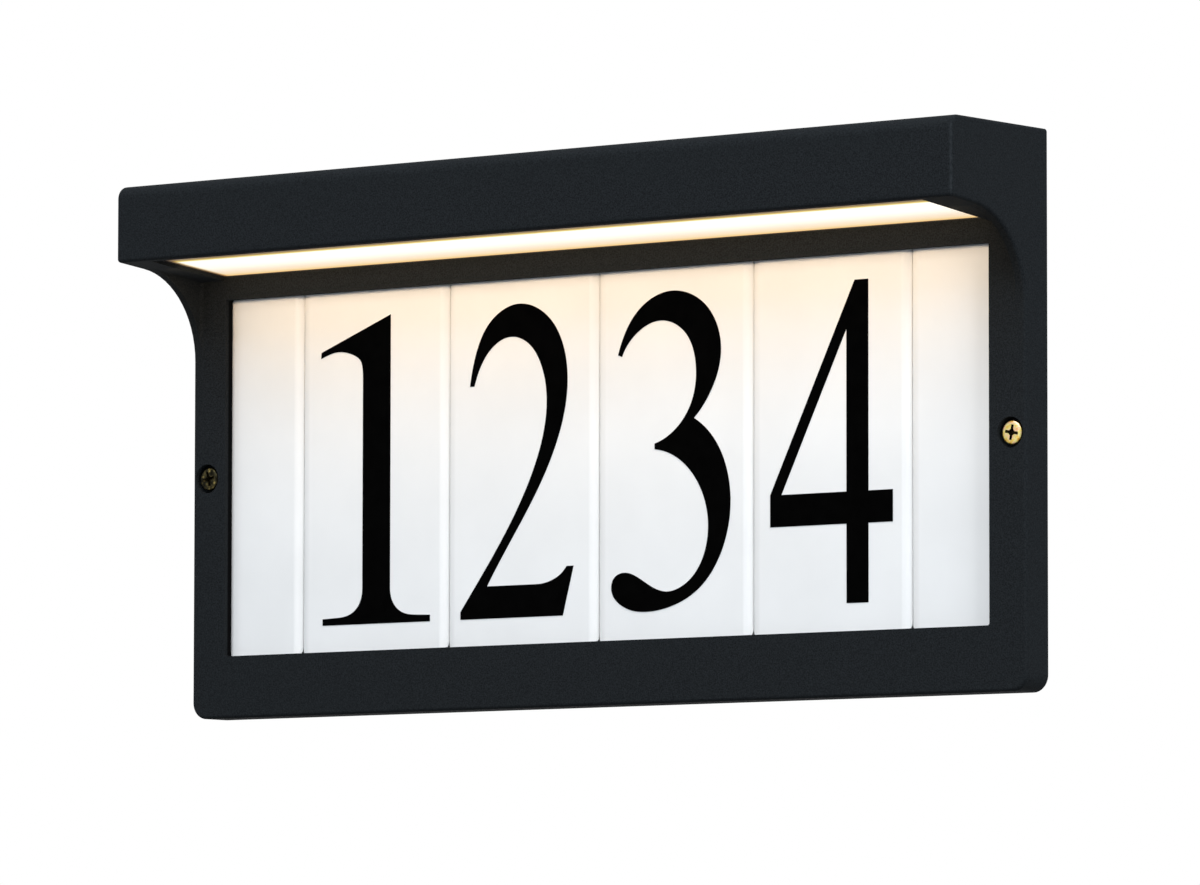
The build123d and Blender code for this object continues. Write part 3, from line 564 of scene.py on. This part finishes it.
NODE_FINISHES = {
    "housing": sand_textured_powder_coat(),
    "back_plate": galvanised_sheet(),
    "plate_stand_offs": clear_zinc,
    "cable_grommet": rubber,
    "lens": opal_lens(),
    "lens_seal": rubber,
    "lamp_tray": mill_aluminium(),
    "tray_screws": clear_zinc,
    "thermal_tape": thermal_tape(),
    "lamp_board": white_solder_mask(),
    "board_screws": clear_zinc,
    "driver_case": moulded_black_pbt(),
    "driver_potting": potting_epoxy(),
    "driver_screws": clear_zinc,
    "terminal_block": moulded_grey_nylon(),
    "terminal_screws": clear_zinc,
    "terminal_fixing_screw": clear_zinc,
    "lamp_lead_positive": red_pvc,
    "lamp_lead_negative": black_pvc,
    "supply_lead_positive": red_pvc,
    "supply_lead_negative": black_pvc,
    "lamps": lit_phosphor(),
    "blank_tile_left": glaze,
    "blank_tile_right": glaze,
}
for index in range(1, 5):
    NODE_FINISHES[f"number_tile_{index}"] = glaze
    NODE_FINISHES[f"numeral_{index}"] = ink
for node, finish in NODE_FINISHES.items():
    paint(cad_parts[node], finish)


# ---------------------------------------------------------------- the two cover screws
# M4 pan heads in counterbores, in mm: where the underside of the head sits, at X on either side.
SCREW_X = 167.85
SCREW_Y = -9.1
SCREW_Z = -7.65
HEAD_TOP = 2.6
SHANK_PROFILE = [(1.2, -6), (1.62, -5.5), (1.62, -0.4), (2, 0)]
HEAD_PROFILE = [
    (3.9, 0), (4, 0.12), (4, 1.7), (3.94, 2.05), (3.78, 2.32), (3.52, 2.5), (3.15, HEAD_TOP)]
TURNED_SIDES = 64

# The cross recess, in mm. Its cutters stand above the head, so that they cut it open.
RECESS_DEPTH = 2.1
ARM_LENGTH, ARM_WIDTH = 5.2, 1.0
ARM_FLOOR_LENGTH, ARM_FLOOR_WIDTH = 0.55, 0.7      # shares of the arm's size at its mouth
ARM_ABOVE = 0.2
WELL_FLOOR_RADIUS, WELL_MOUTH_RADIUS = 0.65, 1.65
WELL_LONGER = 0.4
RECESS_RADIUS = 2.9
SLIVER = 2e-6                                      # metres: what the cuts leave smaller is merged

# The thread, in mm: M4 x 0.7, and the ridge's radius as a share of the pitch.
THREAD_RADIUS = 2
THREAD_PITCH = 0.7
THREAD_LOW, THREAD_HIGH = -5.4, -0.3
RIDGE_SHARE = 0.38
RIDGE_STEPS = 24


def turned(name, profile):
    """A turned piece along +Z. The profile is (radius, height) from its lowest ring up, in mm."""
    (radius, height), *rest = profile
    piece = start(
        name, "circle", vertices=TURNED_SIDES, radius=radius * MM, fill_type="NGON")
    edit(piece)
    bpy.ops.mesh.select_all(action="SELECT")
    bpy.ops.transform.translate(value=(0, 0, height * MM))
    for next_radius, next_height in rest:
        rise = (next_height - height) * MM
        bpy.ops.mesh.extrude_region_move(TRANSFORM_OT_translate={"value": (0, 0, rise)})
        share = next_radius / radius
        bpy.ops.transform.resize(
            value=(share, share, 1), center_override=(0, 0, next_height * MM))
        radius, height = next_radius, next_height
    face_outwards()
    return done(piece)


def cut_out(piece, cutter):
    use_modifier(piece, "BOOLEAN", operation="DIFFERENCE", solver="EXACT", object=cutter)
    bpy.data.objects.remove(cutter)


def cross_arm(top, depth):
    """A cutter for one arm of a cross recess, which narrows towards its floor."""
    arm = start("arm", "cube", size=1)
    above = ARM_ABOVE * MM
    size = Matrix.Diagonal((ARM_LENGTH * MM, ARM_WIDTH * MM, depth + above, 1))
    place_mesh(arm, Matrix.Translation((0, 0, top - depth / 2 + above / 2)) @ size)
    edit(arm, "VERT")
    pick(arm, "verts", lambda at: at.z < top - depth / 2)
    bpy.ops.transform.resize(
        value=(ARM_FLOOR_LENGTH, ARM_FLOOR_WIDTH, 1), center_override=(0, 0, top - depth))
    return done(arm)


def cut_cross(head, top):
    """A cross recess: two arms at right angles, and a tapered well where they meet."""
    depth = RECESS_DEPTH * MM
    for turn in (0, pi / 2):
        arm = cross_arm(top, depth)
        place_mesh(arm, Matrix.Rotation(turn, 4, "Z"))
        cut_out(head, arm)
    well = start(
        "well", "cone", vertices=4, radius1=WELL_FLOOR_RADIUS * MM,
        radius2=WELL_MOUTH_RADIUS * MM, depth=depth + WELL_LONGER * MM)
    place_mesh(well, Matrix.Translation((0, 0, top - depth / 2)))
    cut_out(head, well)
    edit(head)
    bpy.ops.mesh.select_all(action="SELECT")
    bpy.ops.mesh.remove_doubles(threshold=SLIVER)
    bpy.ops.mesh.dissolve_degenerate(threshold=SLIVER)
    done(head)


def finish_recess(head, top):
    """Gives the faces inside the cross recess the second material, the painted shade."""
    floor, mouth = 0.1 * MM, top - 0.02 * MM
    edit(head)
    pick(head, "faces", lambda at: floor < at.z < mouth and at.xy.length < RECESS_RADIUS * MM)
    head.active_material_index = 1
    bpy.ops.object.material_slot_assign()
    return done(head)


def screw_thread():
    """A three-cornered ridge wound up the shank."""
    pitch, low, high = THREAD_PITCH * MM, THREAD_LOW * MM, THREAD_HIGH * MM
    ridge_radius = RIDGE_SHARE * pitch
    ridge = start("thread", "circle", vertices=3, radius=ridge_radius)
    upright = Matrix.Rotation(pi / 2, 4, "X") @ Matrix.Rotation(-pi / 2, 4, "Z")
    place_mesh(ridge, Matrix.Translation((THREAD_RADIUS * MM - ridge_radius, 0, low)) @ upright)
    use_modifier(
        ridge, "SCREW", axis="Z", angle=2 * pi, screw_offset=pitch,
        iterations=int((high - low) / pitch), steps=RIDGE_STEPS, render_steps=RIDGE_STEPS,
        use_normal_calculate=True)
    edit(ridge)
    bpy.ops.mesh.select_all(action="SELECT")
    bpy.ops.mesh.fill_holes(sides=3)
    face_outwards()
    return done(ridge)


def cover_screw(name, x, turn, finish, body, node):
    """A pan head machine screw with a cross recess, in its counterbore in the side bar."""
    screw = turned(name, SHANK_PROFILE + HEAD_PROFILE)
    cut_cross(screw, HEAD_TOP * MM)
    ridge = screw_thread()
    for piece in (screw, ridge):
        paint(piece, finish, recess_shade_zinc)
    screw = join([finish_recess(screw, HEAD_TOP * MM), ridge], name)
    seat = Matrix.Translation((x * MM, SCREW_Y * MM, SCREW_Z * MM))
    place_mesh(
        screw, seat @ Matrix.Rotation(pi / 2, 4, "X") @ Matrix.Rotation(radians(turn), 4, "Z"))
    smooth(screw, angle=32)
    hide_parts(node)
    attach(screw, body)


cover_screw("left_cover_screw", -SCREW_X, 12, dark_reflection_zinc, "left_screw", "cover_screw_left")
cover_screw("right_cover_screw", SCREW_X, -10, bright_zinc, "right_screw", "cover_screw_right")


# ---------------------------------------------------------------- the two foam strips
FOAM_SLICES = 60
FOAM_CUTS_ACROSS = (0.15, 0.5, 0.85)               # shares of its thickness, then of its height
FOAM_CUTS_UP = (0.04, 0.3, 0.5, 0.7, 0.96)
FOAM_SWELL = 0.3                                   # a share of the thickness, from its middle
FOAM_PINCH = 0.5                                   # mm
FOAM_UNEVEN = 0.25                                 # mm
ON_THE_SIDE = 1e-5                                 # metres: how near a point on a side lies to it

foam = closed_cell_foam()


def foam_strip(name, node, seed):
    """A knife-cut strip of foam, squeezed from plate to tiles so that its long sides swell."""
    low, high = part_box(node)
    middle = (low + high) / 2
    size = high - low
    strip = start(name, "cube", size=1)
    place_mesh(strip, Matrix.Translation(middle) @ Matrix.Diagonal((*size, 1)))

    edit(strip)
    cuts = [(0, size.x * index / FOAM_SLICES) for index in range(1, FOAM_SLICES)]
    cuts += [(1, size.y * share) for share in FOAM_CUTS_ACROSS]
    cuts += [(2, size.z * share) for share in FOAM_CUTS_UP]
    for axis, distance in cuts:
        point, direction = middle.copy(), Vector()
        point[axis] = low[axis] + distance
        direction[axis] = 1
        bpy.ops.mesh.select_all(action="SELECT")
        bpy.ops.mesh.bisect(plane_co=point, plane_no=direction)

    # The long sides are pinched in next to the plate and the tiles, and swell unevenly between.
    swell = size.y * FOAM_SWELL
    for side in (-1, 1):
        edge_z = middle.z + side * size.z / 2
        pick(strip, "verts",
             lambda at: abs(at.z - edge_z) < ON_THE_SIDE and abs(at.y - middle.y) > swell)
        bpy.ops.transform.translate(value=(0, 0, -side * FOAM_PINCH * MM))
        pick(strip, "verts",
             lambda at: abs(at.z - edge_z) < ON_THE_SIDE and abs(at.y - middle.y) < swell)
        bpy.ops.transform.vertex_random(offset=FOAM_UNEVEN * MM, seed=seed)
    face_outwards()
    done(strip)
    smooth(strip, angle=60)
    paint(strip, foam)
    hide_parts(node)
    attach(strip, "base")


foam_strip("lower_foam_strip", "tile_pad_lower", 3)
foam_strip("upper_foam_strip", "tile_pad_upper", 8)


# ---------------------------------------------------------------- pieces with eased edges
SHARP_EDGE = 40                                    # degrees
SAME_PLANE = 1                                     # degrees
SAME_POINT = 1e-6                                  # metres


def eased_copy(name, node, width_mm):
    """A piece on a CAD node's own shape, with its sharp edges rounded as a moulding's are."""
    piece = bpy.data.objects.new(name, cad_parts[node].data.copy())
    bpy.context.collection.objects.link(piece)
    edit(piece)
    bpy.ops.mesh.select_all(action="SELECT")
    bpy.ops.mesh.remove_doubles(threshold=SAME_POINT)
    bpy.ops.mesh.dissolve_limited(angle_limit=radians(SAME_PLANE))
    bpy.ops.mesh.normals_make_consistent(inside=False)
    done(piece)
    use_modifier(
        piece, "BEVEL", width=width_mm * MM, segments=2, limit_method="ANGLE",
        angle_limit=radians(SHARP_EDGE))
    smooth(piece, SHARP_EDGE)
    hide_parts(node)
    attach(piece, "cover")


eased_copy("frosted_lens", "lens", 0.3)
eased_copy("driver_shell", "driver_case", 0.4)
eased_copy("lamp_chips", "lamps", 0.15)


# ---------------------------------------------------------------- camera
# A pinhole camera fitted to the straight edges of the sign in the photograph.
camera = bpy.data.objects.new("camera", bpy.data.cameras.new("camera"))
bpy.context.collection.objects.link(camera)
camera.location = (1.64249, -2.118253, -0.2132561)
camera.rotation_euler = (1.64681, -0.001350896, 0.6605291)
camera.data.sensor_width = 36.0
camera.data.lens = 243.4096
camera.data.shift_x = -0.0062995
camera.data.shift_y = 0.0171557
camera.data.clip_end = 50.0
bpy.context.scene.camera = camera


# ---------------------------------------------------------------- floor, backdrop and light
ROOM_WHITE = 1.0
FLOOR_HEIGHT = -0.75
FLOOR_SIZE = 12
FLOOR_WHITENESS = 0.93
SKY_LIGHT = 0.9
DAYLIGHT = "#F4F9FF"


def seen_directly(tree):
    """1 where the room is seen, straight or by way of metal and glass; 0 where it only lights."""
    rays = add_node(tree, "LightPath").outputs
    seen = add_node(tree, "Math", {
        0: rays["Is Camera Ray"], 1: rays["Is Glossy Ray"]}, operation="MAXIMUM")
    return add_node(tree, "Math", {
        0: seen, 1: rays["Is Transmission Ray"]}, operation="MAXIMUM")


def pale_floor():
    # Matt studio paint, faintly mottled. Seen directly it is nearly the room's white, and keeps a
    # little of the sign's shadow. From below it is clear, because the sign hangs well above it.
    material, tree, surface, place = new_finish("pale_floor_paint")
    mottle = add_node(tree, "TexNoise", {"Vector": place, "Scale": patches(40.0), "Detail": 3.0})
    set_inputs(tree, surface, {
        "Base Color": add_node(tree, "ValToRGB", {"Fac": mottle}, mottled("#525456", "#5A5C5E")),
        "Roughness": 0.95,
    })
    white = add_node(tree, "Emission", {"Color": hex_colour("#FFFFFF"), "Strength": ROOM_WHITE})
    whiteness = add_node(tree, "Math", {
        0: seen_directly(tree), 1: FLOOR_WHITENESS}, operation="MULTIPLY")
    above = add_node(tree, "MixShader", {0: whiteness, 1: surface, 2: white})
    below = add_node(tree, "BsdfTransparent")
    from_below = add_node(tree, "NewGeometry").outputs["Backfacing"]
    both = add_node(tree, "MixShader", {0: from_below, 1: above, 2: below})
    end = next(node for node in tree.nodes if node.type == "OUTPUT_MATERIAL")
    set_inputs(tree, end, {"Surface": both})
    floor = start("floor", "plane", size=FLOOR_SIZE, location=(0, 0, FLOOR_HEIGHT))
    paint(floor, material)


def studio_world():
    # White where it is seen. As light it is a soft cool sky, which is brightest from above.
    world = bpy.data.worlds.new("studio")
    world.use_nodes = True
    tree = world.node_tree
    tree.nodes.clear()
    direction = add_node(tree, "TexCoord").outputs["Generated"]
    up = add_node(tree, "SeparateXYZ", {"Vector": direction}).outputs["Z"]
    height = add_node(tree, "MapRange", {"Value": up, "From Min": -1.0, "From Max": 1.0})
    sky = add_node(tree, "ValToRGB", {"Fac": height}, [
        (0.0, "#202428"), (0.45, "#8E979F"), (0.6, "#C9D4DE"), (1.0, "#F2F8FF")])
    light = add_node(tree, "Background", {"Color": sky, "Strength": SKY_LIGHT})
    white = add_node(tree, "Background", {"Color": hex_colour("#FFFFFF"), "Strength": ROOM_WHITE})
    mixed = add_node(tree, "MixShader", {0: seen_directly(tree), 1: light, 2: white})
    add_node(tree, "OutputWorld", {"Surface": mixed})
    bpy.context.scene.world = world


def area_light(name, size, power, colour):
    lamp = bpy.data.lights.new(name, "AREA")
    lamp.shape = "RECTANGLE"
    lamp.size, lamp.size_y = size
    lamp.energy = power
    lamp.color = hex_colour(colour)[:3]
    holder = bpy.data.objects.new(name, lamp)
    bpy.context.collection.objects.link(holder)
    return holder


def softbox(name, azimuth, elevation, distance, size, power):
    """A soft light that faces the sign, placed by its direction as seen from the sign's front."""
    holder = area_light(name, size, power, DAYLIGHT)
    a, e = radians(azimuth), radians(elevation)
    direction = Vector((sin(a) * cos(e), -cos(a) * cos(e), sin(e)))
    holder.location = direction * distance
    holder.rotation_euler = direction.to_track_quat("Z", "Y").to_euler()


studio_world()
pale_floor()
softbox("key", azimuth=4, elevation=42, distance=1.5, size=(1.1, 0.75), power=13)
softbox("side", azimuth=74, elevation=15, distance=2.2, size=(0.8, 1.4), power=28)
softbox("strip", azimuth=-17, elevation=12, distance=2.4, size=(0.5, 1.8), power=4.2)

# The rest of the lens's light on the tiles. It isn't seen itself, straight or in a reflection.
under_lens = area_light("lamps_behind_the_lens", size=(0.33, 0.008), power=0.06, colour="#FFDFB6")
under_lens.location = (0, -40 * MM, 59.5 * MM)
under_lens.rotation_euler = (radians(50), 0, 0)
under_lens.visible_camera = under_lens.visible_glossy = False
bpy.context.scene.view_settings.view_transform = "Standard"
